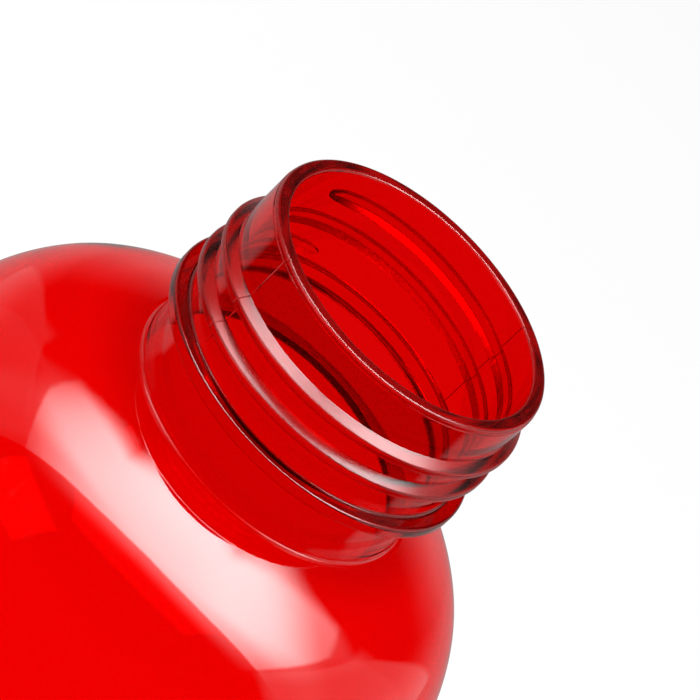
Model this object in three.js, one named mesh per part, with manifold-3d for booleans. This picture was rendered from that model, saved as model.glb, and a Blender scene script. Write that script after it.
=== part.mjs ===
// Clear sports bottle with its push-pull cap taken off and stood beside it.
// Millimetres, +Z up. The origin is on the table, at the middle of the pair.
import * as THREE from "three";
import { ParametricGeometry } from "three/addons/geometries/ParametricGeometry.js";
import { mergeVertices } from "three/addons/utils/BufferGeometryUtils.js";
import Module from "manifold-3d";

const wasm = await Module();
wasm.setup();

// Fineness of round shapes
const bodySegments = 48;
const capSegments = 48;
const smallSegments = 32;
const pinSegments = 20;
const arcChord = 5;
const leastArcSteps = 2;
const gripSteps = 4;
const threadStepsPerTurn = 32;
const mergeDistance = 1e-4;

// Clearances
const seatGap = 0.3;
const threadClearance = 0.35;
const slideClearance = 0.25;
const pinClearance = 0.12;
const plugClearance = 0.25;
const swingClearance = 0.5;

// Bottle
const bottleHeight = 195;
const bodyDiameter = 75.2;
const bodyWall = 1.2;
const baseWall = 2;
const heelRadius = 7;
const standWidth = 4.5;
const pushUp = 5;
const gripDepth = 3;
const gripLength = 84;
const gripHeight = 80;
const shoulderRadius = 22.8;
const crownRadius = 14;
const crownStart = THREE.MathUtils.degToRad(38);
const crownEnd = THREE.MathUtils.degToRad(64);

// Neck finish, measured down from the rim
const neckDiameter = 37.7;
const neckBore = 34;
const rimEdge = 0.4;
const lipInset = 0.2;
const lipHeight = 0.75;
const finishHeight = 15.5;
const supportRingDiameter = 41.4;
const supportRingThickness = 1.9;
const supportRingEdge = 0.5;
const stemDiameter = 37;
const stemLength = 7.35;
const ledgeWidth = 0.65;
const boreFillet = 4;

// Neck thread: one start, right-handed
const threadDiameter = 40.2;
const threadPitch = 4.23;
const threadTurns = 2.05;
const threadTop = 4.5;
const threadStartAngle = THREE.MathUtils.degToRad(145);
const threadRunOut = THREE.MathUtils.degToRad(18);
const threadRootWidth = 2.4;
const threadCrestWidth = 0.75;
const threadEmbed = 0.3;

// Cap shell
const capStandGap = 12;
const capWall = 1.9;
const deckThickness = 2.2;
const capEdge = 2;
const skirtGap = 0.8;
const ribCount = 36;
const ribHeight = 0.7;
const ribFootWidth = 2.4;
const ribCrestWidth = 1;
const ribEmbed = 0.4;
const ribMargin = 1.6;
const capThreadTurns = 1.25;
const capThreadBottom = 3.2;
const locatingRingDepth = 3;
const locatingRingWall = 1.3;
const gasketThickness = 1.6;

// Chimney and plug of the cap shell
const chimneyDiameter = 12;
const chimneyWall = 1.6;
const catchHeight = 0.55;
const catchWidth = 1.2;
const plugDiameter = 4.8;
const plugEdge = 1;
const webCount = 3;
const webThickness = 1.4;
const webDepth = 5;

// Push-pull spout
const spoutTravel = 5;
const spoutWall = 1.3;
const spoutLip = 2;
const spoutRoof = 1.8;
const collarWidth = 1.2;
const collarThickness = 2.8;
const collarEdge = 0.9;
const noseDiameter = 11.5;
const noseHeight = 7;
const noseEdge = 1.2;

// Dust cover and its hinge
const coverWall = 1.5;
const coverCrown = 6;
const coverHeadroom = 2.2;
const hingeOffset = 4.2;
const hingeRise = 2;
const knuckleRadius = 2.1;
const knuckleWidth = 7;
const lugThickness = 2.6;
const lugEmbed = 1;
const pinDiameter = 2;
const tabReach = 3;
const tabThickness = 1.6;
const tabAngle = THREE.MathUtils.degToRad(44);

// Bottle sizes that follow
const bodyRadius = bodyDiameter / 2;
const neckRadius = neckDiameter / 2;
const boreRadius = neckBore / 2;
const stemRadius = stemDiameter / 2;
const ringRadius = supportRingDiameter / 2;
const ringTop = bottleHeight - finishHeight;
const ringBottom = ringTop - supportRingThickness;
const stemBottom = ringBottom - stemLength;
const ledgeRadius = stemRadius + ledgeWidth;
const shoulderCentre = bodyRadius - shoulderRadius;
const crownShift = shoulderRadius - crownRadius;
const crownCentre = shoulderCentre + crownShift * Math.cos(crownStart);
const crownZ = stemBottom - coneHeight(ledgeRadius, crownRadius);
const shoulderFoot = crownZ - crownShift * Math.sin(crownStart);
const threadRadius = threadDiameter / 2;

// Cap sizes that follow, measured up from the skirt's lower edge
const skirtBore = threadRadius + threadClearance;
const skirtRadius = skirtBore + capWall;
const capRadius = skirtRadius + ribHeight;
const deckUnderside = finishHeight - skirtGap + gasketThickness + seatGap;
const deckTop = deckUnderside + deckThickness;
const locatingRadius = boreRadius - threadClearance;
const chimneyRadius = chimneyDiameter / 2;
const chimneyBore = chimneyRadius - chimneyWall;
const catchRadius = chimneyRadius + catchHeight;
const spoutFoot = deckTop + seatGap;
const catchBottom = spoutFoot + spoutLip + spoutTravel + seatGap;
const chimneyTop = catchBottom + catchWidth + catchHeight;
const plugRadius = plugDiameter / 2;
const spoutBore = catchRadius + slideClearance;
const spoutRadius = spoutBore + spoutWall;
const collarRadius = spoutRadius + collarWidth;
const spoutCeiling = chimneyTop + seatGap;
const collarTop = spoutCeiling + spoutRoof;
const noseRadius = noseDiameter / 2;
const noseTop = collarTop + noseHeight;
const hingeZ = deckTop + seatGap + knuckleRadius + hingeRise;
const coverBore = Math.max(sweptBore(collarRadius, collarTop), sweptBore(noseRadius, noseTop));
const coverRadius = coverBore + coverWall;
const coverFoot = deckTop + seatGap;
const coverCeiling = noseTop + spoutTravel + coverHeadroom;
const coverTop = coverCeiling + coverWall;
const pinRadius = pinDiameter / 2;
const hingeY = coverRadius + hingeOffset;
const lugInside = knuckleWidth / 2 + seatGap;

// The pair stands centred on the origin
const pairWidth = bodyDiameter + capStandGap + 2 * capRadius;
const bottleX = bodyRadius - pairWidth / 2;
const capX = pairWidth / 2 - capRadius;

// Least bore of the dust cover, so that its front wall swings clear of an edge of the raised spout.
// With the pin a set distance behind the bore, the wall's reach is 2 bore + back, and it has to pass
// the edge's own distance from the pin, which grows with the bore too: a quadratic in the bore.
function sweptBore(edgeRadius, edgeZ) {
  const back = coverWall + hingeOffset;
  const rise = edgeZ + spoutTravel - hingeZ;
  const near = back - swingClearance;
  const far = back + edgeRadius;
  const half = far - 2 * near;
  return (half + Math.sqrt(half ** 2 + 3 * (far ** 2 + rise ** 2 - near ** 2))) / 3;
}

// Height over the crown's centre, at a radius, of the cone that runs on from an arc about that centre.
function coneHeight(radius, arcRadius) {
  const run = crownCentre + arcRadius * Math.cos(crownEnd) - radius;
  return arcRadius * Math.sin(crownEnd) + run / Math.tan(crownEnd);
}

const point = (x, y) => new THREE.Vector2(x, y);

// Points along an arc of a lathe profile, from one angle to another.
function arc(r, z, radius, from, to) {
  const chords = Math.ceil((radius * Math.abs(to - from)) / arcChord);
  const steps = Math.max(leastArcSteps, chords);
  return Array.from({ length: steps + 1 }, (_, i) => {
    const angle = from + ((to - from) * i) / steps;
    return point(r + radius * Math.cos(angle), z + radius * Math.sin(angle));
  });
}

// Points of a shallow dome from its rim to its crown on the axis.
function dome(halfWidth, foot, rise) {
  const radius = (halfWidth ** 2 + rise ** 2) / (2 * rise);
  const rimAngle = Math.acos(halfWidth / radius);
  return arc(0, foot + rise - radius, radius, rimAngle, Math.PI / 2);
}

// A profile revolved about Z. It is drawn anticlockwise, with the radius to the right.
function revolve(profile, segments) {
  return new THREE.LatheGeometry(profile, segments).rotateX(Math.PI / 2);
}

// A three.js geometry as a solid that can be joined and cut.
function solid(geometry) {
  const bare = geometry.clone();
  bare.deleteAttribute("normal");
  bare.deleteAttribute("uv");
  const merged = mergeVertices(bare, mergeDistance);
  const corners = merged.index.array;
  const kept = [];
  for (let i = 0; i < corners.length; i += 3) {
    const [a, b, c] = corners.slice(i, i + 3);
    if (a !== b && b !== c && c !== a) kept.push(a, b, c);
  }
  return new wasm.Manifold(
    new wasm.Mesh({
      numProp: 3,
      vertProperties: merged.attributes.position.array,
      triVerts: new Uint32Array(kept),
    }),
  );
}

// A solid back as a three.js geometry.
function geometry(made) {
  const { vertProperties, triVerts } = made.getMesh();
  const result = new THREE.BufferGeometry();
  result.setAttribute("position", new THREE.BufferAttribute(vertProperties, 3));
  result.setIndex(new THREE.BufferAttribute(triVerts, 1));
  result.computeVertexNormals();
  return result;
}

const cylinder = (radius, length, segments) =>
  new THREE.CylinderGeometry(radius, radius, length, segments);

// A prism from an outline in the YZ plane, centred on X.
function prismAlongX(outline, width) {
  const settings = { depth: width, bevelEnabled: false, curveSegments: smallSegments / 2 };
  const shape = new THREE.ExtrudeGeometry(outline, settings);
  return shape.translate(0, 0, -width / 2).rotateX(Math.PI / 2).rotateZ(Math.PI / 2);
}

// A screw thread's bead: a trapezoid swept down a right-handed helix, pointed at both ends.
function threadBead({ root, crest, turns, top, startAngle }) {
  const facing = Math.sign(crest - root);
  const section = [
    [0, -threadRootWidth / 2],
    [1, -threadCrestWidth / 2],
    [1, threadCrestWidth / 2],
    [0, threadRootWidth / 2],
  ];
  const sweep = turns * 2 * Math.PI;
  const bead = (across, along, target) => {
    const [height, width] = section[Math.round(across * section.length) % section.length];
    const full = Math.min(1, (Math.min(along, 1 - along) * sweep) / threadRunOut);
    const radius = root + full * height * (crest - root);
    const angle = startAngle - along * sweep;
    const z = top - threadPitch * turns * along + facing * full * width;
    target.set(radius * Math.cos(angle), radius * Math.sin(angle), z);
  };
  const steps = Math.round(threadStepsPerTurn * turns);
  return solid(new ParametricGeometry(bead, section.length, steps));
}

// Outline of the bottle's outer skin, or its inner one at a wall's depth, from base to shoulder.
function bodySkin(depth, crown) {
  const radius = bodyRadius - depth;
  const waist = radius - gripDepth;
  const quarter = gripLength / 4;
  const [lower, upper] = [gripHeight - quarter, gripHeight + quarter];
  const grip = new THREE.Path();
  grip.moveTo(radius, lower - quarter);
  grip.bezierCurveTo(radius, lower, waist, lower, waist, gripHeight);
  grip.bezierCurveTo(waist, upper, radius, upper, radius, upper + quarter);
  const heel = bodyRadius - heelRadius;
  return [
    ...dome(heel - standWidth, depth, crown - depth).reverse(),
    ...arc(heel, heelRadius, heelRadius - depth, -Math.PI / 2, 0),
    ...grip.getPoints(gripSteps),
  ];
}

function bottleBody() {
  const innerCrown = crownRadius - bodyWall;
  const filletCentre = boreRadius + boreFillet;
  const filletZ = crownZ + coneHeight(filletCentre, innerCrown + boreFillet);
  const ringEdgeRadius = ringRadius - supportRingEdge;
  const lipRadius = neckRadius - lipInset;
  const lipZ = bottleHeight - lipHeight;
  const rimZ = bottleHeight - rimEdge;
  const shell = revolve(
    [
      ...bodySkin(0, pushUp),
      ...arc(shoulderCentre, shoulderFoot, shoulderRadius, 0, crownStart),
      ...arc(crownCentre, crownZ, crownRadius, crownStart, crownEnd).slice(1),
      point(ledgeRadius, stemBottom),
      point(stemRadius, stemBottom),
      point(stemRadius, ringBottom),
      ...arc(ringEdgeRadius, ringBottom + supportRingEdge, supportRingEdge, -Math.PI / 2, 0),
      ...arc(ringEdgeRadius, ringTop - supportRingEdge, supportRingEdge, 0, Math.PI / 2),
      point(neckRadius, ringTop),
      point(neckRadius, lipZ),
      point(lipRadius, lipZ),
      ...arc(lipRadius - rimEdge, rimZ, rimEdge, 0, Math.PI / 2),
      ...arc(boreRadius + rimEdge, rimZ, rimEdge, Math.PI / 2, Math.PI),
      ...arc(filletCentre, filletZ, boreFillet, Math.PI, Math.PI + crownEnd),
      ...arc(crownCentre, crownZ, innerCrown, crownEnd, crownStart),
      ...arc(shoulderCentre, shoulderFoot, shoulderRadius - bodyWall, crownStart, 0).slice(1),
      ...bodySkin(bodyWall, pushUp + baseWall).reverse(),
    ],
    bodySegments,
  );
  const thread = threadBead({
    root: neckRadius - threadEmbed,
    crest: threadRadius,
    turns: threadTurns,
    top: bottleHeight - threadTop,
    startAngle: threadStartAngle,
  });
  return geometry(solid(shell).add(thread));
}

// Ring of grip ribs round the skirt.
function gripRibs() {
  const valley = skirtRadius - ribEmbed;
  const rib = [
    [valley, -ribFootWidth / 2],
    [capRadius, -ribCrestWidth / 2],
    [capRadius, ribCrestWidth / 2],
    [valley, ribFootWidth / 2],
  ];
  const corners = [];
  for (let i = 0; i < ribCount; i++) {
    for (const [radius, offset] of rib) {
      const angle = (i * 2 * Math.PI) / ribCount + offset / radius;
      corners.push(point(radius * Math.cos(angle), radius * Math.sin(angle)));
    }
  }
  const outline = new THREE.Shape(corners);
  const bore = new THREE.Path();
  bore.absarc(0, 0, (skirtBore + valley) / 2, 0, 2 * Math.PI, true);
  outline.holes.push(bore);
  const height = deckTop - capEdge - 2 * ribMargin;
  const settings = { depth: height, bevelEnabled: false, curveSegments: capSegments };
  return solid(new THREE.ExtrudeGeometry(outline, settings).translate(0, 0, ribMargin));
}

// One web from the plug to the chimney's wall.
function plugWeb(index) {
  const length = chimneyRadius - chimneyWall / 2;
  const web = new THREE.BoxGeometry(length, webThickness, webDepth);
  web.translate(length / 2, 0, deckUnderside + webDepth / 2);
  return solid(web.rotateZ((index * 2 * Math.PI) / webCount));
}

// One hinge lug, beside the knuckle on the side given.
function hingeLug(side) {
  const outline = new THREE.Shape();
  outline.moveTo(hingeY - knuckleRadius, deckTop - lugEmbed);
  outline.lineTo(hingeY + knuckleRadius, deckTop - lugEmbed);
  outline.lineTo(hingeY + knuckleRadius, hingeZ);
  outline.absarc(hingeY, hingeZ, knuckleRadius, 0, Math.PI, false);
  outline.closePath();
  const lug = prismAlongX(outline, lugThickness);
  return solid(lug.translate(side * (lugInside + lugThickness / 2), 0, 0));
}

// Hole for the hinge pin, through whatever it is cut from.
function pinHole() {
  const length = 2 * (lugInside + lugThickness) + 2 * seatGap;
  const hole = cylinder(pinRadius + pinClearance, length, pinSegments).rotateZ(Math.PI / 2);
  return solid(hole.translate(0, hingeY, hingeZ));
}

function capShell() {
  const edge = Math.PI / 2;
  const shell = revolve(
    [
      point(skirtBore, 0),
      point(skirtRadius, 0),
      ...arc(skirtRadius - capEdge, deckTop - capEdge, capEdge, 0, edge),
      point(chimneyRadius, deckTop),
      point(chimneyRadius, catchBottom),
      point(catchRadius, catchBottom),
      point(catchRadius, catchBottom + catchWidth),
      point(chimneyRadius, chimneyTop),
      point(chimneyBore, chimneyTop),
      point(chimneyBore, deckUnderside),
      point(locatingRadius - locatingRingWall, deckUnderside),
      point(locatingRadius - locatingRingWall, deckUnderside - locatingRingDepth),
      point(locatingRadius, deckUnderside - locatingRingDepth),
      point(locatingRadius, deckUnderside),
      point(skirtBore, deckUnderside),
      point(skirtBore, 0),
    ],
    capSegments,
  );
  const plug = revolve(
    [
      point(0, deckUnderside),
      point(plugRadius, deckUnderside),
      ...arc(plugRadius - plugEdge, noseTop - seatGap - plugEdge, plugEdge, 0, edge),
      point(0, noseTop - seatGap),
    ],
    smallSegments,
  );
  const thread = threadBead({
    root: skirtBore + threadEmbed,
    crest: neckRadius + threadClearance,
    turns: capThreadTurns,
    top: capThreadBottom + threadPitch * capThreadTurns,
    startAngle: threadStartAngle,
  });
  let made = solid(shell).add(gripRibs()).add(thread).add(solid(plug));
  for (let web = 0; web < webCount; web++) made = made.add(plugWeb(web));
  for (const side of [-1, 1]) made = made.add(hingeLug(side));
  return geometry(made.subtract(pinHole()));
}

function mouthGasket() {
  const inner = locatingRadius + seatGap;
  const outer = skirtBore - seatGap;
  const top = deckUnderside - seatGap;
  const bottom = top - gasketThickness;
  const corners = [point(inner, bottom), point(outer, bottom), point(outer, top), point(inner, top)];
  return revolve([...corners, corners[0]], capSegments);
}

function spout() {
  const lipBore = chimneyRadius + slideClearance;
  const lipTop = spoutFoot + spoutLip;
  const collarBottom = collarTop - collarThickness;
  const collarCentre = collarRadius - collarEdge;
  const hole = plugRadius + plugClearance;
  const noseCeiling = noseTop - spoutRoof;
  const noseBore = noseRadius - spoutWall;
  const edge = Math.PI / 2;
  return revolve(
    [
      point(lipBore, spoutFoot),
      point(spoutRadius, spoutFoot),
      point(spoutRadius, collarBottom),
      ...arc(collarCentre, collarBottom + collarEdge, collarEdge, -edge, 0),
      ...arc(collarCentre, collarTop - collarEdge, collarEdge, 0, edge),
      point(noseRadius, collarTop),
      ...arc(noseRadius - noseEdge, noseTop - noseEdge, noseEdge, 0, edge),
      point(hole, noseTop),
      point(hole, noseCeiling),
      point(noseBore, noseCeiling),
      point(noseBore, spoutCeiling),
      point(spoutBore, spoutCeiling),
      point(spoutBore, lipTop),
      point(lipBore, lipTop),
      point(lipBore, spoutFoot),
    ],
    smallSegments,
  );
}

// Knuckle of the dust cover's hinge, with the arm that joins it to the cover's wall.
function coverKnuckle() {
  const outline = new THREE.Shape();
  const wall = coverRadius - coverWall / 2;
  outline.moveTo(wall, hingeZ - knuckleRadius);
  outline.lineTo(hingeY, hingeZ - knuckleRadius);
  outline.absarc(hingeY, hingeZ, knuckleRadius, -Math.PI / 2, Math.PI / 2, false);
  outline.lineTo(wall, hingeZ + knuckleRadius);
  outline.closePath();
  return solid(prismAlongX(outline, knuckleWidth));
}

// Thumb tab at the front of the dust cover's lower edge.
function coverTab() {
  const front = -Math.PI / 2;
  const outline = new THREE.Shape();
  outline.absarc(0, 0, coverRadius + tabReach, front - tabAngle / 2, front + tabAngle / 2, false);
  outline.absarc(0, 0, coverRadius - coverWall / 2, front + tabAngle / 2, front - tabAngle / 2, true);
  outline.closePath();
  const settings = { depth: tabThickness, bevelEnabled: false, curveSegments: smallSegments / 4 };
  return solid(new THREE.ExtrudeGeometry(outline, settings).translate(0, 0, coverFoot));
}

function dustCover() {
  const crownRadius = coverRadius - coverCrown;
  const edge = Math.PI / 2;
  const hood = revolve(
    [
      point(coverBore, coverFoot),
      point(coverRadius, coverFoot),
      ...arc(crownRadius, coverTop - coverCrown, coverCrown, 0, edge),
      point(0, coverTop),
      point(0, coverCeiling),
      ...arc(crownRadius, coverTop - coverCrown, coverCrown - coverWall, edge, 0),
      point(coverBore, coverFoot),
    ],
    smallSegments,
  );
  return geometry(solid(hood).add(coverKnuckle()).add(coverTab()).subtract(pinHole()));
}

function hingePin() {
  const pin = cylinder(pinRadius, 2 * (lugInside + lugThickness), pinSegments);
  return pin.rotateZ(Math.PI / 2).translate(0, hingeY, hingeZ);
}

const finishes = {
  bottle: { color: 0xd4000c, roughness: 0.08, metalness: 0, transparent: true, opacity: 0.6 },
  cap: { color: 0x1c1d20, roughness: 0.45, metalness: 0 },
  gasket: { color: 0xd9d9d4, roughness: 0.6, metalness: 0 },
  spout: { color: 0xb8141c, roughness: 0.4, metalness: 0 },
  cover: { color: 0xe9eef0, roughness: 0.06, metalness: 0, transparent: true, opacity: 0.35 },
  pin: { color: 0xb9bcc0, roughness: 0.25, metalness: 1 },
};

function piece(name, shape, finish) {
  const mesh = new THREE.Mesh(shape, new THREE.MeshStandardMaterial(finishes[finish]));
  mesh.name = name;
  return mesh;
}

const cap = new THREE.Group();
cap.add(piece("cap_shell", capShell(), "cap"));
cap.add(piece("mouth_gasket", mouthGasket(), "gasket"));
cap.add(piece("spout", spout(), "spout"));
cap.add(piece("dust_cover", dustCover(), "cover"));
cap.add(piece("hinge_pin", hingePin(), "pin"));
cap.position.x = capX;

const bottle = piece("bottle_body", bottleBody(), "bottle");
bottle.position.x = bottleX;

const pair = new THREE.Group();
pair.add(bottle, cap);

export default pair;
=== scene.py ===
"""A clear red sports bottle with its push-pull cap taken off and stood beside it."""

import math

import bmesh
import bpy
from mathutils import Matrix, Vector


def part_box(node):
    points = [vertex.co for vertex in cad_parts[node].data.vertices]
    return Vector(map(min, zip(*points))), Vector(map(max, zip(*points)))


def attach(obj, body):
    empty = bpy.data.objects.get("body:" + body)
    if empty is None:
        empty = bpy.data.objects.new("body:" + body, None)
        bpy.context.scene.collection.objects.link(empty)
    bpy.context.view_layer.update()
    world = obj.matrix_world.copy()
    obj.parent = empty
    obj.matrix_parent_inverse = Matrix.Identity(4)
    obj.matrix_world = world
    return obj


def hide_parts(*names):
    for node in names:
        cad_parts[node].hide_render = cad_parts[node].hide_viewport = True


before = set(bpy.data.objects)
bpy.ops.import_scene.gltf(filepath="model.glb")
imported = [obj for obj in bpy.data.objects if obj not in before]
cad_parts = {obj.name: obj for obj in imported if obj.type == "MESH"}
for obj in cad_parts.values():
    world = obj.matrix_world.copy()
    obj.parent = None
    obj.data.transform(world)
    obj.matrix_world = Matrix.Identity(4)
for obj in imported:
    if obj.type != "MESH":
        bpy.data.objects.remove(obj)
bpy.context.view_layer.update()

MM = 0.001
FULL_TURN = 2 * math.pi

# Where the pieces stand, from the frame, in metres
bottle_low, bottle_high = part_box("bottle_body")
cap_low, cap_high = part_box("cap_shell")
gasket_low, gasket_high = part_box("mouth_gasket")
spout_low, spout_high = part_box("spout")
cover_low, cover_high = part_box("dust_cover")
pin_low, pin_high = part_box("hinge_pin")
bottle_axis = Vector(((bottle_low.x + bottle_high.x) / 2, 0, 0))
cap_axis = Vector(((gasket_low.x + gasket_high.x) / 2, 0, 0))

# Sizes that follow from the frame, in millimetres
bottle_height = bottle_high.z / MM
body_radius = (bottle_high.x - bottle_low.x) / 2 / MM
cap_radius = (cap_high.x - cap_low.x) / 2 / MM
gasket_radius = (gasket_high.x - gasket_low.x) / 2 / MM
collar_radius = (spout_high.x - spout_low.x) / 2 / MM
cover_radius = (cover_high.x - cover_low.x) / 2 / MM
pin_reach = (pin_high.x - pin_low.x) / 2 / MM
pin_radius = (pin_high.z - pin_low.z) / 2 / MM
hinge_back = (pin_low.y + pin_high.y) / 2 / MM
hinge_height = (pin_low.z + pin_high.z) / 2 / MM

# Bottle, in millimetres and degrees
BODY_WALL = 1.2
BASE_WALL = 2.0
HEEL = 7.0
INNER_HEEL_TURN = 80
STAND_WIDTH = 4.5
STAND_EDGE = 0.8
PUSH_UP = 5.0
DOME_MARGIN = 1.0
GRIP_MIDDLE = 80.0
GRIP_LENGTH = 84.0
GRIP_DEPTH = 3.0
SHOULDER = 22.8
CROWN = 16.0
CROWN_FROM = 34
CROWN_TO = 61
BROW = 110.0
STEM_RADIUS = 18.5
STEM_LENGTH = 7.35
LEDGE_WIDTH = 0.65
LEDGE_EDGE = 0.1
RING_RADIUS = 20.7
RING_THICKNESS = 1.9
RING_TAPER = 0.22
RING_EDGE = 0.45
FINISH_HEIGHT = 15.5
NECK_RADIUS = 18.85
LIP_INSET = 0.1
LIP_HEIGHT = 0.75
LIP_EDGE = 0.05
LIP_SLOPE = 0.1
RIM_EDGE = 0.45
BORE_RADIUS = 17.0
BORE_FILLET = 1.2
ring_top = bottle_height - FINISH_HEIGHT
ring_bottom = ring_top - RING_THICKNESS
stem_bottom = ring_bottom - STEM_LENGTH
lip_foot = bottle_height - LIP_HEIGHT

# Neck thread
THREAD_RADIUS = 20.1
THREAD_ROOT = 2.4
THREAD_CREST = 0.75
THREAD_PITCH = 4.23
THREAD_TURNS = 2.05
THREAD_DROP = 4.5
THREAD_START = math.radians(145)
THREAD_RUN_OUT = math.radians(18)
THREAD_TIP = 0.15
THREAD_EMBED = 0.3

# Edges of the moulded pieces
FINE_EDGE = 0.2
SOFT_EDGE = 0.3
ROUND_EDGE = 0.4
FULL_EDGE = 0.5

# Cap
SEAT_GAP = 0.3
THREAD_ROOM = 0.35
SLIDE_ROOM = 0.25
CAP_WALL = 1.9
CAP_EDGE = 2.0
RIB_COUNT = 36
RIB_FOOT = 2.4
RIB_CREST = 1.0
RIB_MARGIN = 1.6
RIB_SLOPE = 0.5
RIB_EMBED = 0.4
CAP_THREAD_TURNS = 1.25
CAP_THREAD_BOTTOM = 3.2
LOCATING_WALL = 1.3
LOCATING_DEPTH = 3.0
CHIMNEY_RADIUS = 6.0
CHIMNEY_WALL = 1.6
CATCH_HEIGHT = 0.55
CATCH_WIDTH = 1.2
PLUG_RADIUS = 2.4
PLUG_EDGE = 1.0
WEB_COUNT = 3
WEB_THICKNESS = 1.4
WEB_DEPTH = 5.0
skirt_bore = gasket_radius + SEAT_GAP
skirt_radius = skirt_bore + CAP_WALL
deck_underside = gasket_high.z / MM + SEAT_GAP
deck_top = spout_low.z / MM - SEAT_GAP
locating_radius = BORE_RADIUS - THREAD_ROOM

# Push-pull spout
SPOUT_TRAVEL = 5.0
SPOUT_WALL = 1.3
SPOUT_LIP = 2.0
SPOUT_ROOF = 1.8
COLLAR_THICKNESS = 2.8
COLLAR_EDGE = 0.9
NOSE_RADIUS = 5.75
NOSE_HEIGHT = 7.0
NOSE_FILLET = 0.8
NOSE_EDGE = 1.2
spout_foot = spout_low.z / MM
nose_top = spout_high.z / MM
collar_top = nose_top - NOSE_HEIGHT
catch_bottom = spout_foot + SPOUT_LIP + SPOUT_TRAVEL + SEAT_GAP
chimney_top = catch_bottom + CATCH_WIDTH + CATCH_HEIGHT

# Dust cover and its hinge
COVER_WALL = 1.5
COVER_CROWN = 6.0
KNUCKLE_RADIUS = 2.1
KNUCKLE_WIDTH = 7.0
LUG_EMBED = 1.0
LUG_EDGE = 0.25
PIN_ROOM = 0.12
PIN_HOLE_EDGE = 0.1
TAB_THICKNESS = 1.6
TAB_EDGE = 0.7
TAB_ANGLE = math.radians(44)
cover_foot = cover_low.z / MM
cover_top = cover_high.z / MM
tab_radius = -cover_low.y / MM
hinge_place = cap_axis + Vector((0, hinge_back, hinge_height)) * MM

# Fineness: steps of a full turn, of an arc in a profile and of a rounded corner
BOTTLE_STEPS = 288
CAP_STEPS = 180
SMALL_STEPS = 128
PLUG_STEPS = 64
ROD_STEPS = 48
TAB_STEPS = 16
GRIP_STEPS = 24
ARC_STEPS = 14
BASE_STEPS = 12
FILLET_STEPS = 10
BROW_STEPS = 9
OUTLINE_STEPS = 12
CORNER_STEPS = 6
EDGE_STEPS = 3
SMOOTH_ANGLE = math.radians(28)
HOLD = 0.12
WELD = 1e-4


# Mesh making

def arc(centre, radius, start, end, steps):
    """Corners along an arc in the profile's plane, from one angle in degrees to another."""
    angles = [math.radians(start + (end - start) * i / steps) for i in range(steps + 1)]
    return [(centre[0] + radius * math.cos(a), centre[1] + radius * math.sin(a)) for a in angles]


def smooth_centre(centre, radius, next_radius, angle):
    """The centre of an arc that runs on smoothly from another one, at an angle in degrees."""
    shift = radius - next_radius
    return centre + Vector((math.cos(math.radians(angle)), math.sin(math.radians(angle)))) * shift


def rounded(bm, sharp, radius, steps, affect):
    """Rounds corners or edges off; edges are kept from running into each other."""
    bmesh.ops.bevel(bm, geom=sharp, offset=radius * MM, offset_type="OFFSET", segments=steps, profile=0.5,
                    affect=affect, material=-1, clamp_overlap=affect == "EDGES")


def turned(bm, angle, axis):
    """Turns everything about an axis through the origin."""
    bmesh.ops.rotate(bm, verts=bm.verts, cent=(0, 0, 0), matrix=Matrix.Rotation(angle, 3, axis))


def copied_round(bm, count):
    """Copies everything round the Z axis, to a number in all."""
    bmesh.ops.spin(bm, geom=bm.verts[:] + bm.edges[:] + bm.faces[:], cent=(0, 0, 0), axis=(0, 0, 1),
                   dvec=(0, 0, 0), angle=FULL_TURN * (count - 1) / count, steps=count - 1,
                   use_duplicate=True)
    bmesh.ops.recalc_face_normals(bm, faces=bm.faces)


def profile(bm, corners, closed):
    """A wire through (radius, height) corners in millimetres; a third number rounds a corner off."""
    verts = [bm.verts.new((c[0] * MM, 0, c[1] * MM)) for c in corners]
    for pair in zip(verts, verts[1:] + verts[:1] if closed else verts[1:]):
        bm.edges.new(pair)
    roundings = {}
    for vert, corner in zip(verts, corners):
        if len(corner) > 2:
            roundings.setdefault(corner[2], []).append(vert)
    for rounding, sharp in roundings.items():
        rounded(bm, sharp, rounding, CORNER_STEPS, "VERTICES")
    for edge in straight_runs(bm):
        hold_flat(edge)
    return bm.verts[:] + bm.edges[:]


def straight_runs(bm):
    """The edges of a wire that are much longer than a neighbour, so no part of an arc."""
    runs = []
    for edge in bm.edges:
        neighbours = [e.calc_length() for v in edge.verts for e in v.link_edges if e is not edge]
        if edge.calc_length() > 4 * max(HOLD * MM, min(neighbours)):
            runs.append(edge)
    return runs


def hold_flat(edge):
    """Adds a point close to each end of an edge, so that smooth shading leaves the run between flat."""
    first, last = edge.verts
    share = HOLD * MM / edge.calc_length()
    halves = {edge, bmesh.utils.edge_split(edge, first, share)[0]}
    rest = next(half for half in halves if last in half.verts)
    bmesh.utils.edge_split(rest, last, share / (1 - share))


def revolved(corners, steps, closed=True):
    """A closed skin of revolution about the Z axis."""
    bm = bmesh.new()
    wire = profile(bm, corners, closed)
    bmesh.ops.spin(bm, geom=wire, cent=(0, 0, 0), axis=(0, 0, 1), dvec=(0, 0, 0), angle=FULL_TURN,
                   steps=steps, use_merge=True)
    bmesh.ops.remove_doubles(bm, verts=bm.verts, dist=WELD * MM)
    bmesh.ops.recalc_face_normals(bm, faces=bm.faces)
    return bm


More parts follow.
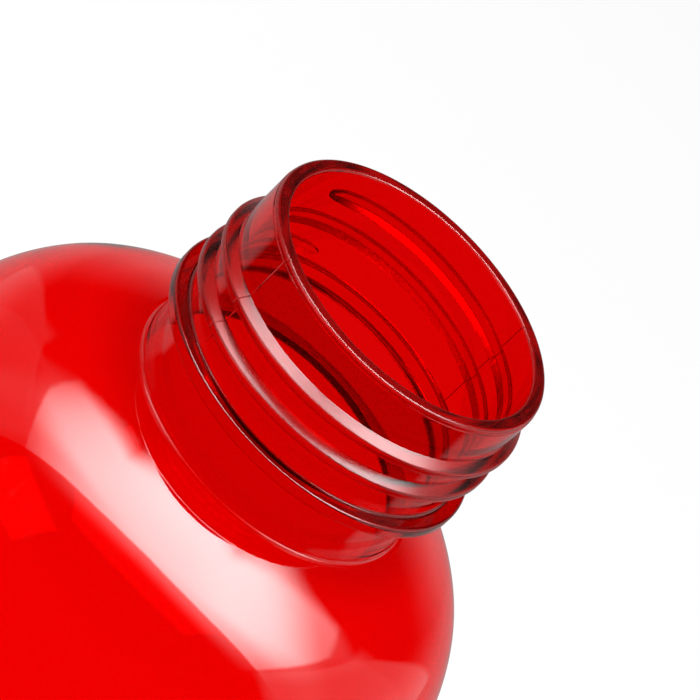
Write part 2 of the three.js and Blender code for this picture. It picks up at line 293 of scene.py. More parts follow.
def bead(corners, root, start, turns, drop, steps_per_turn, run_out):
    """A thread bead: a section swept along a helix, drawn in to a small tip at both ends."""
    bm = bmesh.new()
    profile(bm, corners, True)
    turned(bm, start, "Z")
    steps = round(abs(turns) * steps_per_turn)
    turn = FULL_TURN * turns / steps
    rings = [bm.verts[:]]
    wire = bm.verts[:] + bm.edges[:]
    for _ in range(steps):
        swept = bmesh.ops.spin(bm, geom=wire, cent=(0, 0, 0), axis=(0, 0, 1),
                               dvec=(0, 0, drop * MM / steps), angle=turn, steps=1)
        wire = swept["geom_last"]
        rings.append([g for g in wire if isinstance(g, bmesh.types.BMVert)])
    for number, ring in enumerate(rings):
        share = min(number, steps - number) * abs(turn) / run_out
        if share < 1:
            centre = sum((v.co for v in ring), Vector()) / len(ring)
            outward = Vector((centre.x, centre.y, 0)).normalized()
            tip = outward * root * MM + Vector((0, 0, centre.z))
            width = THREAD_TIP + (1 - THREAD_TIP) * math.sqrt(share * (2 - share))
            for v in ring:
                v.co = tip + (v.co - tip) * width
    close_ends(bm)
    return bm


def close_ends(bm):
    """Fills the open ends of a swept shape and turns its faces outwards."""
    bmesh.ops.holes_fill(bm, edges=[e for e in bm.edges if e.is_boundary], sides=0)
    bmesh.ops.recalc_face_normals(bm, faces=bm.faces)


def piece(name, bm, place):
    """A new object from a bmesh, with its place in its mesh."""
    bmesh.ops.translate(bm, verts=bm.verts, vec=place)
    mesh = bpy.data.meshes.new(name)
    bm.to_mesh(mesh)
    bm.free()
    made = bpy.data.objects.new(name, mesh)
    bpy.context.scene.collection.objects.link(made)
    return made


def cut_or_join(made, tool_bm, place, operation):
    """Joins a tool shape to a piece, or cuts it away, and drops the tool."""
    tool = piece("tool", tool_bm, place)
    change = made.modifiers.new("change", "BOOLEAN")
    change.operation = operation
    change.solver = "MANIFOLD"
    change.object = tool
    bpy.context.view_layer.update()
    evaluated = made.evaluated_get(bpy.context.evaluated_depsgraph_get())
    changed = bpy.data.meshes.new_from_object(evaluated)
    made.modifiers.clear()
    made.data = changed
    changed.name = made.name
    bpy.data.objects.remove(tool)


def dressed(made, material, body, node):
    """Cleans and smooths a piece, gives it its finish and puts it on its body in place of its node."""
    bm = bmesh.new()
    bm.from_mesh(made.data)
    bmesh.ops.dissolve_degenerate(bm, dist=WELD * MM, edges=bm.edges)
    bm.to_mesh(made.data)
    bm.free()
    made.data.shade_smooth()
    made.data.set_sharp_from_angle(angle=SMOOTH_ANGLE)
    made.data.materials.clear()
    made.data.materials.append(material)
    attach(made, body)
    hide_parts(node)


def prism(corners, width, edge):
    """An outline of (y, z) corners in millimetres, rounded as marked, run along X with soft edges."""
    bm = bmesh.new()
    verts = [bm.verts.new((-width * MM / 2, c[0] * MM, c[1] * MM)) for c in corners]
    bm.faces.new(verts)
    for rounding in {c[2] for c in corners if len(c) > 2}:
        sharp = [v for v, c in zip(verts, corners) if len(c) > 2 and c[2] == rounding]
        rounded(bm, sharp, rounding, OUTLINE_STEPS, "VERTICES")
    bmesh.ops.remove_doubles(bm, verts=bm.verts, dist=WELD * MM)
    pushed = bmesh.ops.extrude_face_region(bm, geom=bm.faces[:])["geom"]
    moved = [g for g in pushed if isinstance(g, bmesh.types.BMVert)]
    bmesh.ops.translate(bm, verts=moved, vec=(width * MM, 0, 0))
    ends = [e for e in bm.edges if abs(e.verts[0].co.x - e.verts[1].co.x) < 1e-6]
    rounded(bm, ends, edge, EDGE_STEPS, "EDGES")
    bmesh.ops.recalc_face_normals(bm, faces=bm.faces)
    return bm


def rod_along_x(radius, reach, edge):
    """A round rod along X, with rounded ends."""
    corners = [(0, -reach), (radius, -reach, edge), (radius, reach, edge), (0, reach)]
    bm = revolved(corners, ROD_STEPS, closed=False)
    turned(bm, math.pi / 2, "Y")
    return bm


# Shader making

class Wire:
    """A shader socket that Python's own operators work on."""

    def __init__(self, tree, socket):
        self.tree = tree
        self.socket = socket

    @staticmethod
    def node(tree, kind, settings, sockets, output=0):
        """A node of a kind: its settings are set first, then the values or links of its sockets."""
        made = tree.nodes.new(kind)
        for name, value in settings.items():
            setattr(made, name, value)
        for name, value in sockets.items():
            socket = Wire.named(made.inputs, name)
            if isinstance(value, Wire):
                tree.links.new(value.socket, socket)
            else:
                socket.default_value = value
        return Wire(tree, Wire.named(made.outputs, output)) if made.outputs else made

    @staticmethod
    def named(sockets, name):
        """A socket by its number, its name or, where names are shared, its identifier."""
        return next((s for s in sockets if s.identifier == name), None) or sockets[name]

    def made(self, kind, settings, sockets, output=0):
        """A node in the same tree as this socket."""
        return Wire.node(self.tree, kind, settings, sockets, output)

    def maths(self, operation, *others):
        """A Math node with this socket's value first."""
        return self.made("ShaderNodeMath", {"operation": operation}, dict(enumerate((self, *others))))

    def __add__(self, other):
        return self.maths("ADD", other)

    __radd__ = __add__

    def __sub__(self, other):
        return self.maths("SUBTRACT", other)

    def __rsub__(self, other):
        return self.maths("MULTIPLY_ADD", -1, other)

    def __mul__(self, other):
        return self.maths("MULTIPLY", other)

    __rmul__ = __mul__

    def __truediv__(self, other):
        return self.maths("DIVIDE", other)

    def __abs__(self):
        return self.maths("ABSOLUTE")

    def outputs(self, *names):
        """Outputs of this socket's node, by name."""
        return [Wire(self.tree, self.socket.node.outputs[name]) for name in names]

    def parts(self):
        """The X, Y and Z of a vector."""
        return self.made("ShaderNodeSeparateXYZ", {}, {"Vector": self}).outputs("X", "Y", "Z")

    def largest(self, other):
        """The larger of two values."""
        return self.maths("MAXIMUM", other)

    def step(self, low, high):
        """0 below low, 1 above high, and a smooth slope between."""
        return self.made("ShaderNodeMapRange", {"interpolation_type": "SMOOTHSTEP"},
                         {"Value": self, "From Min": low, "From Max": high})

    def band(self, low, high, soft):
        """1 between low and high, with soft edges."""
        return self.step(low - soft, low + soft) * (1 - self.step(high - soft, high + soft))


def new_material(name):
    """An empty material and its node tree."""
    material = bpy.data.materials.new(name)
    material.use_nodes = True
    material.node_tree.nodes.clear()
    return material, material.node_tree


def output(tree, surface, volume=None):
    """Ends a material's tree."""
    sockets = {"Surface": surface}
    if volume:
        sockets["Volume"] = volume
    Wire.node(tree, "ShaderNodeOutputMaterial", {}, sockets)


def noise(place, scale, detail):
    """Cloudy values round a half, finer with a larger scale."""
    return place.made("ShaderNodeTexNoise", {}, {"Vector": place, "Scale": scale, "Detail": detail})


def mixed(factor, first, second):
    """A colour between two others."""
    return factor.made("ShaderNodeMix", {"data_type": "RGBA"},
                       {"Factor": factor, "A_Color": first, "B_Color": second}, "Result_Color")


def bumped(height, distance, strength):
    """A normal from heights, where a height of 1 stands for a distance in millimetres."""
    return height.made("ShaderNodeBump", {},
                       {"Strength": strength, "Distance": distance * MM, "Height": height})


def shaded(colour, factor):
    """A colour made darker or paler, with its alpha."""
    return [c * factor for c in colour] + [1]


def place_round(tree, axis):
    """Where a point of a piece is: as one vector, as its parts from an upright axis, and how far out."""
    place = Wire.node(tree, "ShaderNodeTexCoord", {}, {}, "Object")
    x, y, z = place.parts()
    x, y = x - axis.x, y - axis.y
    return place, x, y, z, (x * x + y * y).maths("SQRT")


# Finishes, with places in millimetres

BODY_RED = (1.0, 0.03, 0.04, 1)
# The neck's darker red is painted shade: a darker base colour that stands in for the dimmer light seen
# through the neck.
NECK_RED_PAINTED_SHADE = (0.72, 0.02, 0.03, 1)
THICK_RED = (0.985, 0.0, 0.0, 1)
NECK_BLEND = 3.0
THREAD_MARGIN = 1.0
SEAM_ANGLE = math.radians(51)
SEAM_WIDTH = 0.12
SEAM_FROM_AXIS = 18.2
SEAM_HEIGHT = 0.06
SWAY_HEIGHT = 0.12
SCUFF_HEIGHT = 0.002
BOTTLE_GLOSS = 0.015
SCUFF_HAZE = 0.05
MOULD_HAZE = 0.2
CHARCOAL = (0.03, 0.031, 0.034)
SPOUT_RED = (0.6, 0.01, 0.015)
SILICONE = (0.72, 0.72, 0.69)
RUB_BAND = 0.35
GASKET_RUB_BAND = 0.2
RUB_BLEND = 0.3
GRAIN_HEIGHT = 0.06
RIPPLE_HEIGHT = 0.2


def clear_red_plastic():
    """Clear red plastic: pale red walls, nearly black where the light runs along a thick one, and a darker
    red on the neck that is painted shade.
    """
    material, tree = new_material("bottle_clear_red")
    place, x, y, z, from_axis = place_round(tree, bottle_axis)
    thread_foot = ring_top + THREAD_MARGIN
    on_finish = z.step(thread_foot * MM, (thread_foot + 0.2) * MM)
    on_thread = from_axis.step((NECK_RADIUS + 0.02) * MM, (NECK_RADIUS + 0.1) * MM) * on_finish
    on_neck = z.step((stem_bottom - NECK_BLEND) * MM, stem_bottom * MM)
    on_rim = z.step(lip_foot * MM, (lip_foot + 0.3) * MM)
    on_outside = from_axis.step(SEAM_FROM_AXIS * MM, (SEAM_FROM_AXIS + 0.2) * MM)
    off_seam = abs(x * math.sin(SEAM_ANGLE) - y * math.cos(SEAM_ANGLE))
    seam = (1 - off_seam.step(0, SEAM_WIDTH * MM)) * on_outside * on_finish
    sway = noise(place, 40.0, 2.0)
    scuff = noise(place, 700.0, 6.0)
    scuffed = scuff * (1 - on_rim)
    relief = sway * (1 - on_neck) * SWAY_HEIGHT + seam * SEAM_HEIGHT + scuffed * SCUFF_HEIGHT
    surface = place.made("ShaderNodeBsdfPrincipled", {}, {
        # Body red, blending to a darker red on the neck that is painted shade
        "Base Color": mixed(on_neck, BODY_RED, NECK_RED_PAINTED_SHADE),
        "Roughness": BOTTLE_GLOSS + scuff.step(0.5, 0.75) * SCUFF_HAZE + (on_thread + on_rim) * MOULD_HAZE,
        "IOR": 1.57,
        "Transmission Weight": 1.0,
        "Normal": bumped(relief, 1.0, 1.0),
    })
    inside = place.made("ShaderNodeVolumeAbsorption", {}, {"Color": THICK_RED, "Density": 2000.0})
    output(tree, surface, inside)
    return material


def moulded_plastic(name, colour, roughness, rubbed):
    """Opaque moulded plastic: fine grain and flow marks, rubbed smooth and pale beyond a radius."""
    material, tree = new_material(name)
    place, _, _, _, from_axis = place_round(tree, cap_axis)
    grain = noise(place, 2600.0, 3.0)
    cloud = noise(place, 90.0, 4.0)
    rub = from_axis.step(rubbed * MM, (rubbed + RUB_BLEND) * MM) * (cloud + grain * 0.4).step(0.55, 0.85)
    clouded = mixed(cloud.step(0.3, 0.7), shaded(colour, 0.85), shaded(colour, 1.12))
    worn = [c * 0.8 + 0.06 for c in colour] + [1]
    surface = place.made("ShaderNodeBsdfPrincipled", {}, {
        "Base Color": mixed(rub, clouded, worn),
        "Roughness": roughness + (cloud - 0.5) * 0.2 + (grain - 0.5) * 0.2 - rub * 0.12,
        "IOR": 1.5,
        "Normal": bumped(grain * (1 - rub), GRAIN_HEIGHT, 0.5),
    })
    output(tree, surface)
    return material


def clear_plastic():
    """Clear moulded plastic with faint handling scuffs."""
    material, tree = new_material("cover_clear")
    place = Wire.node(tree, "ShaderNodeTexCoord", {}, {}, "Object")
    scuff = noise(place, 220.0, 6.0)
    ripple = noise(place, 120.0, 1.0)
    surface = place.made("ShaderNodeBsdfPrincipled", {}, {
        "Base Color": (0.97, 0.98, 0.985, 1),
        "Roughness": 0.02 + scuff.step(0.52, 0.75) * 0.12,
        "IOR": 1.49,
        "Transmission Weight": 1.0,
        "Normal": bumped(ripple, RIPPLE_HEIGHT, 0.1),
    })
    output(tree, surface)
    return material


def drawn_steel():
    """Steel wire with fine lines along its length."""
    material, tree = new_material("pin_steel")
    place = Wire.node(tree, "ShaderNodeTexCoord", {}, {}, "Object")
    drawn_out = place.made("ShaderNodeMapping", {}, {"Vector": place, "Scale": (60.0, 4000.0, 4000.0)})
    lines = noise(drawn_out, 1.0, 2.0)
    surface = place.made("ShaderNodeBsdfPrincipled", {}, {
        "Base Color": (0.6, 0.61, 0.63, 1),
        "Metallic": 1.0,
        "Roughness": 0.2 + lines * 0.2,
    })
    output(tree, surface)
    return material


# Bottle

def grip(radius):
    """The waist that a hand closes round, as corners between the two straight walls."""
    low, high = GRIP_MIDDLE - GRIP_LENGTH / 2, GRIP_MIDDLE + GRIP_LENGTH / 2
    corners = []
    for i in range(GRIP_STEPS + 1):
        height = low + (high - low) * i / GRIP_STEPS
        sway = (1 - math.cos(FULL_TURN * i / GRIP_STEPS)) / 2
        corners.append((radius - GRIP_DEPTH * sway, height))
    return corners


def bottle():
    """The bottle: one skin of revolution, outside and inside, with the neck's thread joined on."""
    ledge_radius = STEM_RADIUS + LEDGE_WIDTH
    shoulder = Vector((body_radius - SHOULDER, 0))
    crown = smooth_centre(shoulder, SHOULDER, CROWN, CROWN_FROM)
    brow = smooth_centre(crown, CROWN, BROW, CROWN_TO)
    brow_end = math.degrees(math.acos((ledge_radius - brow.x) / BROW))
    lift = Vector((0, stem_bottom - brow.y - BROW * math.sin(math.radians(brow_end))))
    shoulder, crown, brow = shoulder + lift, crown + lift, brow + lift
    fillet_middle = BORE_RADIUS + BORE_FILLET
    fillet_reach = BROW - BODY_WALL + BORE_FILLET
    fillet_end = math.degrees(math.acos((fillet_middle - brow.x) / fillet_reach))
    fillet_height = brow.y + fillet_reach * math.sin(math.radians(fillet_end))
    inner_radius = body_radius - BODY_WALL
    heel_middle = body_radius - HEEL
    stand_inside = heel_middle - STAND_WIDTH
    dome = (stand_inside ** 2 + PUSH_UP ** 2) / (2 * PUSH_UP)
    dome_edge = math.degrees(math.asin(stand_inside / dome))
    dome_middle = PUSH_UP - dome
    inside_dome = dome + BASE_WALL
    inside_edge = math.degrees(math.asin((stand_inside - DOME_MARGIN) / inside_dome))
    outer = [
        *arc((0, dome_middle), dome, 90, 90 - dome_edge, BASE_STEPS)[:-1],
        (stand_inside, 0, STAND_EDGE),
        *arc((heel_middle, HEEL), HEEL, -90, 0, ARC_STEPS),
        *grip(body_radius),
        *arc(shoulder, SHOULDER, 0, CROWN_FROM, ARC_STEPS)[:-1],
        *arc(crown, CROWN, CROWN_FROM, CROWN_TO, ARC_STEPS)[:-1],
        *arc(brow, BROW, CROWN_TO, brow_end, BROW_STEPS)[:-1],
        (ledge_radius, stem_bottom, LEDGE_EDGE),
        (STEM_RADIUS, stem_bottom, FULL_EDGE),
        (STEM_RADIUS, ring_bottom - RING_TAPER, FINE_EDGE),
        (RING_RADIUS, ring_bottom + RING_TAPER, RING_EDGE),
        (RING_RADIUS, ring_top, RING_EDGE),
        (NECK_RADIUS, ring_top, ROUND_EDGE),
        (NECK_RADIUS, lip_foot, LIP_EDGE),
        (NECK_RADIUS - LIP_INSET, lip_foot + LIP_SLOPE),
        (NECK_RADIUS - LIP_INSET, bottle_height, RIM_EDGE),
    ]
    inner = [
        (BORE_RADIUS, bottle_height, ROUND_EDGE),
        *arc((fillet_middle, fillet_height), BORE_FILLET, 180, 180 + fillet_end, FILLET_STEPS)[:-1],
        *arc(brow, BROW - BODY_WALL, fillet_end, CROWN_TO, BROW_STEPS)[:-1],
        *arc(crown, CROWN - BODY_WALL, CROWN_TO, CROWN_FROM, ARC_STEPS)[:-1],
        *arc(shoulder, SHOULDER - BODY_WALL, CROWN_FROM, 0, ARC_STEPS),
        *grip(inner_radius)[::-1],
        *arc((heel_middle, HEEL), HEEL - BODY_WALL, 0, -INNER_HEEL_TURN, BASE_STEPS),
        *arc((0, dome_middle), inside_dome, 90 - inside_edge, 90, BASE_STEPS),
    ]
    made = piece("bottle", revolved(outer + inner, BOTTLE_STEPS, closed=False), bottle_axis)
    middle = bottle_height - THREAD_DROP
    flank = (THREAD_ROOT - THREAD_CREST) / 2
    inside = flank * THREAD_EMBED / (THREAD_RADIUS - NECK_RADIUS)
    section = [
        (NECK_RADIUS - THREAD_EMBED, middle - THREAD_ROOT / 2 - inside),
        (THREAD_RADIUS, middle - THREAD_CREST / 2, FINE_EDGE),
        (THREAD_RADIUS, middle + THREAD_CREST / 2, FINE_EDGE),
        (NECK_RADIUS - THREAD_EMBED, middle + THREAD_ROOT / 2 + inside),
    ]
    thread = bead(section, NECK_RADIUS - THREAD_EMBED / 2, THREAD_START, -THREAD_TURNS,
                  -THREAD_TURNS * THREAD_PITCH, BOTTLE_STEPS, THREAD_RUN_OUT)
    cut_or_join(made, thread, bottle_axis, "UNION")
    dressed(made, clear_red_plastic(), "bottle", "bottle_body")


# Cap

def block(length, width, height, middle):
    """A block with its middle at a point, in millimetres."""
    bm = bmesh.new()
    bmesh.ops.create_cube(bm, size=1)
    bmesh.ops.scale(bm, verts=bm.verts, vec=Vector((length, width, height)) * MM)
    bmesh.ops.translate(bm, verts=bm.verts, vec=Vector(middle) * MM)
    return bm


def grip_ribs():
    """Ribs round the skirt: one block, drawn in at its crest, softened and copied round the axis."""
    low, high = RIB_MARGIN, deck_top - CAP_EDGE - RIB_MARGIN
    valley = skirt_radius - RIB_EMBED
    height = high - low
    middle = Vector(((cap_radius + valley) / 2, 0, (low + high) / 2))
    bm = block(cap_radius - valley, RIB_FOOT, height, middle)
    crest = [v for v in bm.verts if v.co.x > middle.x * MM]
    drawn_in = (1, RIB_CREST / RIB_FOOT, (height - 2 * RIB_SLOPE) / height)
    bmesh.ops.scale(bm, verts=crest, vec=drawn_in, space=Matrix.Translation(-middle * MM))
    soft = [e for e in bm.edges if e.verts[0] in crest or e.verts[1] in crest]
    rounded(bm, soft, SOFT_EDGE, EDGE_STEPS, "EDGES")
    copied_round(bm, RIB_COUNT)
    return bm


def plug_webs():
    """Three webs from the plug out into the chimney's wall."""
    length = CHIMNEY_RADIUS - CHIMNEY_WALL / 2
    bm = block(length, WEB_THICKNESS, WEB_DEPTH, (length / 2, 0, deck_underside + WEB_DEPTH / 2))
    copied_round(bm, WEB_COUNT)
    return bm


def pin_hole():
    """What the hinge pin's hole takes out of the lugs and the knuckle."""
    return rod_along_x(pin_radius + PIN_ROOM, pin_reach + SEAT_GAP, PIN_HOLE_EDGE)


def cap_thread():
    """The thread inside the skirt, which runs between the turns of the neck's."""
    root = skirt_bore + THREAD_EMBED
    crest = NECK_RADIUS + THREAD_ROOM
    section = [
        (root, CAP_THREAD_BOTTOM - THREAD_ROOT / 2),
        (crest, CAP_THREAD_BOTTOM - THREAD_CREST / 2, FINE_EDGE),
        (crest, CAP_THREAD_BOTTOM + THREAD_CREST / 2, FINE_EDGE),
        (root, CAP_THREAD_BOTTOM + THREAD_ROOT / 2),
    ]
    start = THREAD_START - FULL_TURN * CAP_THREAD_TURNS
    return bead(section, skirt_bore + THREAD_EMBED / 2, start, CAP_THREAD_TURNS,
                CAP_THREAD_TURNS * THREAD_PITCH, CAP_STEPS, THREAD_RUN_OUT)


def plug():
    """The plug in the chimney that shuts the spout when it is pushed down."""
    top = nose_top - SEAT_GAP
    return revolved([
        (0, deck_underside),
        (PLUG_RADIUS, deck_underside, ROUND_EDGE),
        (PLUG_RADIUS, top, PLUG_EDGE),
        (0, top),
    ], PLUG_STEPS, closed=False)


def cap_shell():
    """The screw cap: skirt, deck, locating ring and chimney, with ribs, thread, plug and hinge lugs."""
    locating_inside = locating_radius - LOCATING_WALL
    locating_foot = deck_underside - LOCATING_DEPTH
    chimney_bore = CHIMNEY_RADIUS - CHIMNEY_WALL
    catch_radius = CHIMNEY_RADIUS + CATCH_HEIGHT
    made = piece("cap", revolved([
        (skirt_bore, 0, ROUND_EDGE),
        (skirt_radius, 0, FULL_EDGE),
        (skirt_radius, deck_top, CAP_EDGE),
        (CHIMNEY_RADIUS, deck_top, FULL_EDGE),
        (CHIMNEY_RADIUS, catch_bottom),
        (catch_radius, catch_bottom, FINE_EDGE),
        (catch_radius, catch_bottom + CATCH_WIDTH, FINE_EDGE),
        (CHIMNEY_RADIUS, chimney_top, FINE_EDGE),
        (chimney_bore, chimney_top, SOFT_EDGE),
        (chimney_bore, deck_underside, SOFT_EDGE),
        (locating_inside, deck_underside, SOFT_EDGE),
        (locating_inside, locating_foot, ROUND_EDGE),
        (locating_radius, locating_foot, ROUND_EDGE),
        (locating_radius, deck_underside),
        (skirt_bore, deck_underside),
    ], CAP_STEPS), cap_axis)
    for added in (grip_ribs(), cap_thread(), plug(), plug_webs()):
        cut_or_join(made, added, cap_axis, "UNION")
    lug_inside = KNUCKLE_WIDTH / 2 + SEAT_GAP
    lug_middle = (lug_inside + pin_reach) / 2
    for side in (-1, 1):
        lug = prism([
            (hinge_back - KNUCKLE_RADIUS, deck_top - LUG_EMBED),
            (hinge_back + KNUCKLE_RADIUS, deck_top - LUG_EMBED),
            (hinge_back + KNUCKLE_RADIUS, hinge_height + KNUCKLE_RADIUS, KNUCKLE_RADIUS),
            (hinge_back - KNUCKLE_RADIUS, hinge_height + KNUCKLE_RADIUS, KNUCKLE_RADIUS),
        ], pin_reach - lug_inside, LUG_EDGE)
        cut_or_join(made, lug, cap_axis + Vector((side * lug_middle * MM, 0, 0)), "UNION")
    cut_or_join(made, pin_hole(), hinge_place, "DIFFERENCE")
    charcoal = moulded_plastic("cap_plastic", CHARCOAL, 0.42, cap_radius - RUB_BAND)
    dressed(made, charcoal, "cap", "cap_shell")


def gasket():
    """The soft ring under the deck that seals on the bottle's rim."""
    inner = locating_radius + SEAT_GAP
    low, high = gasket_low.z / MM, gasket_high.z / MM
    made = piece("gasket", revolved([
        (inner, low, SOFT_EDGE),
        (gasket_radius, low, SOFT_EDGE),
        (gasket_radius, high, SOFT_EDGE),
        (inner, high, SOFT_EDGE),
    ], CAP_STEPS), cap_axis)
    silicone = moulded_plastic("gasket_silicone", SILICONE, 0.6, gasket_radius - GASKET_RUB_BAND)
    dressed(made, silicone, "cap", "mouth_gasket")


def spout():
    """The push-pull spout: a sleeve on the chimney with a collar to pull and a nose to drink from."""
    lip_bore = CHIMNEY_RADIUS + SLIDE_ROOM
    spout_bore = CHIMNEY_RADIUS + CATCH_HEIGHT + SLIDE_ROOM
    spout_radius = spout_bore + SPOUT_WALL
    hole = PLUG_RADIUS + SLIDE_ROOM
    nose_bore = NOSE_RADIUS - SPOUT_WALL
    ceiling = chimney_top + SEAT_GAP
    made = piece("pull_spout", revolved([
        (lip_bore, spout_foot, SOFT_EDGE),
        (spout_radius, spout_foot, ROUND_EDGE),
        (spout_radius, collar_top - COLLAR_THICKNESS, FULL_EDGE),
        (collar_radius, collar_top - COLLAR_THICKNESS, COLLAR_EDGE),
        (collar_radius, collar_top, COLLAR_EDGE),
        (NOSE_RADIUS, collar_top, NOSE_FILLET),
        (NOSE_RADIUS, nose_top, NOSE_EDGE),
        (hole, nose_top, ROUND_EDGE),
        (hole, nose_top - SPOUT_ROOF, FINE_EDGE),
        (nose_bore, nose_top - SPOUT_ROOF),
        (nose_bore, ceiling, FINE_EDGE),
        (spout_bore, ceiling),
        (spout_bore, spout_foot + SPOUT_LIP),
        (lip_bore, spout_foot + SPOUT_LIP, SOFT_EDGE),
    ], SMALL_STEPS), cap_axis)
    red = moulded_plastic("spout_plastic", SPOUT_RED, 0.34, collar_radius - RUB_BAND)
    dressed(made, red, "spout", "spout")


def thumb_tab(root):
    """The tab at the hood's foot: a section swept a little way round its front."""
    bm = bmesh.new()
    wire = profile(bm, [
        (root, cover_foot),
        (tab_radius, cover_foot, FULL_EDGE),
        (tab_radius, cover_foot + TAB_THICKNESS, TAB_EDGE),
        (root, cover_foot + TAB_THICKNESS),
    ], True)
    turned(bm, -math.pi / 2 - TAB_ANGLE / 2, "Z")
    bmesh.ops.spin(bm, geom=wire, cent=(0, 0, 0), axis=(0, 0, 1), dvec=(0, 0, 0), angle=TAB_ANGLE,
                   steps=TAB_STEPS)
    close_ends(bm)
    return bm


def dust_cover():
    """The clear hood over the spout, with its hinge knuckle and thumb tab."""
    cover_bore = cover_radius - COVER_WALL
    ceiling = cover_top - COVER_WALL
    made = piece("clear_hood", revolved([
        (0, cover_top),
        (cover_radius, cover_top, COVER_CROWN),
        (cover_radius, cover_foot, ROUND_EDGE),
        (cover_bore, cover_foot, ROUND_EDGE),
        (cover_bore, ceiling, COVER_CROWN - COVER_WALL),
        (0, ceiling),
    ], SMALL_STEPS, closed=False), cap_axis)
    wall_middle = cover_radius - COVER_WALL / 2
    knuckle = prism([
        (wall_middle, hinge_height - KNUCKLE_RADIUS),
        (hinge_back + KNUCKLE_RADIUS, hinge_height - KNUCKLE_RADIUS, KNUCKLE_RADIUS),
        (hinge_back + KNUCKLE_RADIUS, hinge_height + KNUCKLE_RADIUS, KNUCKLE_RADIUS),
        (wall_middle, hinge_height + KNUCKLE_RADIUS),
    ], KNUCKLE_WIDTH, FINE_EDGE)
    for added in (knuckle, thumb_tab(wall_middle)):
        cut_or_join(made, added, cap_axis, "UNION")
    cut_or_join(made, pin_hole(), hinge_place, "DIFFERENCE")
    dressed(made, clear_plastic(), "cover", "dust_cover")


def hinge_pin():
    """The steel pin through the lugs and the knuckle."""
    made = piece("steel_pin", rod_along_x(pin_radius, pin_reach, FINE_EDGE), hinge_place)
    dressed(made, drawn_steel(), "cap", "hinge_pin")


# Stage

# The camera, and where it sees the middle of the rim, in millimetres
CAMERA_LIFT = math.radians(29.82)
CAMERA_ROLL = math.radians(45.88)
CAMERA_LENS = 214.1
CAMERA_SENSOR = 36
RIM_ACROSS = 6.975
RIM_UP = 6.229
RIM_AWAY = 451.84

# The overhead softbox, as slopes from the upright: across is to the right and deep is to the back
BOX_NEAR = (-0.13, -0.095)
BOX_NEAR_BOW = 0.18
BOX_NEAR_TILT = 0.07
BOX_FAR = (-0.07, 0.03)
BOX_FAR_DEPTH = 0.21
BOX_FAR_BOW = 0.8
BOX_FAR_TILT = 0.08
BOX_LEFT = (-0.96, -0.9)
BOX_LEFT_LEAN = 0.45
BOX_RIGHT = (0.9, 0.97)
BOX_RIGHT_LEAN = 0.15
BOX_MIDDLE = 0.12
BOX_FALL = (0.1, 1.3)
BOX_POWER = 12
SPILL_NEAR = (-0.43, -0.08)
SPILL_POWER = 2.5

# Pale screens at the sides and behind, as slopes from level, and the light of the dark rest
SCREEN_NEAR = (-0.31, -0.19)
SCREEN_FAR = (1.35, 1.47)
SCREEN_LEAN = 0.5
SCREEN_LOW, SCREEN_HIGH, SCREEN_SOFT = -0.15, 1.0, 0.04
SCREEN_POWER = 0.33
SCREEN_RIGHT_POWER = 0.2
BACK_POWER = 0.35
DARK_POWER = 0.006
ROOM_POWER = 0.6
LEAST_SLOPE = 0.02
AIM = Vector((0, 0, 0.08))


def camera():
    """The photo's camera: its place follows from where it sees the middle of the rim."""
    facing = Matrix.Rotation(math.pi / 2 - CAMERA_LIFT, 4, "X") @ Matrix.Rotation(CAMERA_ROLL, 4, "Z")
    rim = bottle_axis + Vector((0, 0, bottle_high.z))
    place = rim - facing @ (Vector((RIM_ACROSS, RIM_UP, -RIM_AWAY)) * MM)
    data = bpy.data.cameras.new("camera")
    data.lens = CAMERA_LENS
    data.sensor_width = CAMERA_SENSOR
    data.clip_start, data.clip_end = 0.01, 20
    made = bpy.data.objects.new("camera", data)
    made.matrix_world = Matrix.Translation(place) @ facing
    bpy.context.scene.collection.objects.link(made)
    bpy.context.scene.camera = made


def floor():
    """A pale floor, white to the camera and through clear plastic, that keeps a soft shadow."""
    bm = bmesh.new()
    bmesh.ops.create_grid(bm, x_segments=1, y_segments=1, size=4)
    made = piece("floor", bm, Vector((0, 0, 0)))
    material, tree = new_material("floor_paper")
    paths = Wire.node(tree, "ShaderNodeLightPath", {}, {})
    camera_ray, clear = paths.outputs("Is Camera Ray", "Is Transmission Ray")
    seen = (camera_ray * 0.7).largest(clear)
    lit = Wire.node(tree, "ShaderNodeBsdfDiffuse", {}, {"Color": (0.95, 0.95, 0.95, 1)})
    white = Wire.node(tree, "ShaderNodeEmission", {}, {"Color": (1, 1, 1, 1), "Strength": 1.0})
    output(tree, Wire.node(tree, "ShaderNodeMixShader", {}, {0: seen, 1: lit, 2: white}))
    made.data.materials.append(material)
    made.visible_glossy = False


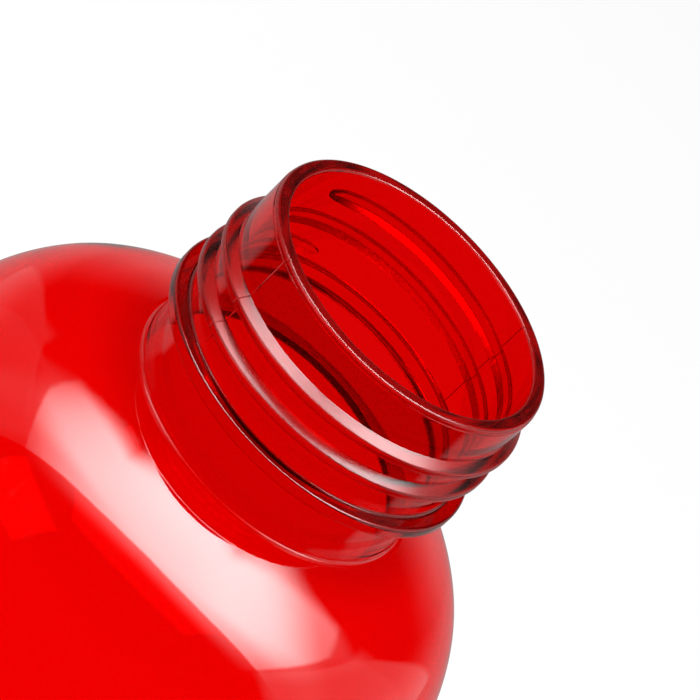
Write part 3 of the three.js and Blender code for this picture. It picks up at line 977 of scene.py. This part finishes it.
def studio():
    """The room: white behind clear plastic, dark in front, with a large softbox overhead in reflections."""
    world = bpy.context.scene.world or bpy.data.worlds.new("studio")
    bpy.context.scene.world = world
    world.use_nodes = True
    tree = world.node_tree
    tree.nodes.clear()
    paths = Wire.node(tree, "ShaderNodeLightPath", {}, {})
    camera_ray, glossy, clear = paths.outputs("Is Camera Ray", "Is Glossy Ray", "Is Transmission Ray")
    x, y, z = Wire.node(tree, "ShaderNodeTexCoord", {}, {}, "Generated").parts()

    # The softbox has a bowed near edge with a glow before it, a bowed far edge and two leaning ends
    high = z.largest(LEAST_SLOPE)
    across, deep = x / high, y / high
    before = deep + abs(across) * BOX_NEAR_BOW - across * BOX_NEAR_TILT
    beyond = deep - (abs(across) * BOX_FAR_BOW + across * BOX_FAR_TILT).largest(BOX_FAR_DEPTH)
    left = (across - deep * BOX_LEFT_LEAN).step(*BOX_LEFT)
    right = 1 - (across + deep * BOX_RIGHT_LEAN).step(*BOX_RIGHT)
    width = 1 - abs(across - BOX_MIDDLE).step(*BOX_FALL) * 0.9
    depth = (0.6 + deep.step(-0.15, 0.12) * 0.4) * (1 - deep.step(0.2, 0.55) * 0.75)
    shape = width * (1 - beyond.step(*BOX_FAR)) * (0.25 + left * right * 0.75) * z.step(0.0, 0.1)
    spill = before.step(*SPILL_NEAR)
    cloth = before.step(*BOX_NEAR) * depth * BOX_POWER
    overhead = (cloth + spill * spill * width * SPILL_POWER) * shape

    # A screen stands on each side, and a paler one far behind
    side = abs(x).largest(LEAST_SLOPE)
    screen_depth = (y / side).step(*SCREEN_NEAR) * (1 - ((y + z * SCREEN_LEAN) / side).step(*SCREEN_FAR))
    screen_height = (z / side).band(SCREEN_LOW, SCREEN_HIGH, SCREEN_SOFT)
    screens = screen_depth * screen_height * abs(x).step(0.3, 0.35)
    behind = y.step(0.14, 0.26) * (1 - z.step(-0.1, 0.35))
    flanks = screens * (SCREEN_POWER + x * SCREEN_RIGHT_POWER)
    mirrored = overhead + flanks + behind * BACK_POWER + DARK_POWER

    # Clear plastic shows white, less so overhead, and the room's plain light falls on all the rest
    plain = 1 - glossy.largest(clear).largest(camera_ray)
    through = 1 - z.step(0.12, 0.45) * 0.68 + overhead * 0.25
    strength = camera_ray + clear * through + glossy * (1 - clear) * mirrored + plain * ROOM_POWER
    backdrop = Wire.node(tree, "ShaderNodeBackground", {}, {"Color": (1, 1, 1, 1), "Strength": strength})
    Wire.node(tree, "ShaderNodeOutputWorld", {}, {"Surface": backdrop})


def lamp(name, place, size, power):
    """A soft square lamp aimed at the middle of the pair, hidden from camera and mirror rays."""
    data = bpy.data.lights.new(name, "AREA")
    data.size = size
    data.energy = power
    made = bpy.data.objects.new(name, data)
    made.location = place
    made.rotation_mode = "QUATERNION"
    made.rotation_quaternion = (AIM - Vector(place)).to_track_quat("-Z", "Y")
    made.visible_camera = False
    made.visible_glossy = False
    bpy.context.scene.collection.objects.link(made)


bottle()
cap_shell()
gasket()
spout()
dust_cover()
hinge_pin()
camera()
floor()
studio()
lamp("overhead_softbox", (0.0, -0.1, 0.9), 0.7, 5.0)
lamp("side_softbox", (-0.7, -0.6, 0.6), 0.5, 3.0)
bpy.context.scene.view_settings.view_transform = "Standard"
bpy.context.scene.cycles.max_bounces = 32
bpy.context.scene.cycles.transmission_bounces = 32
bpy.context.scene.cycles.glossy_bounces = 16
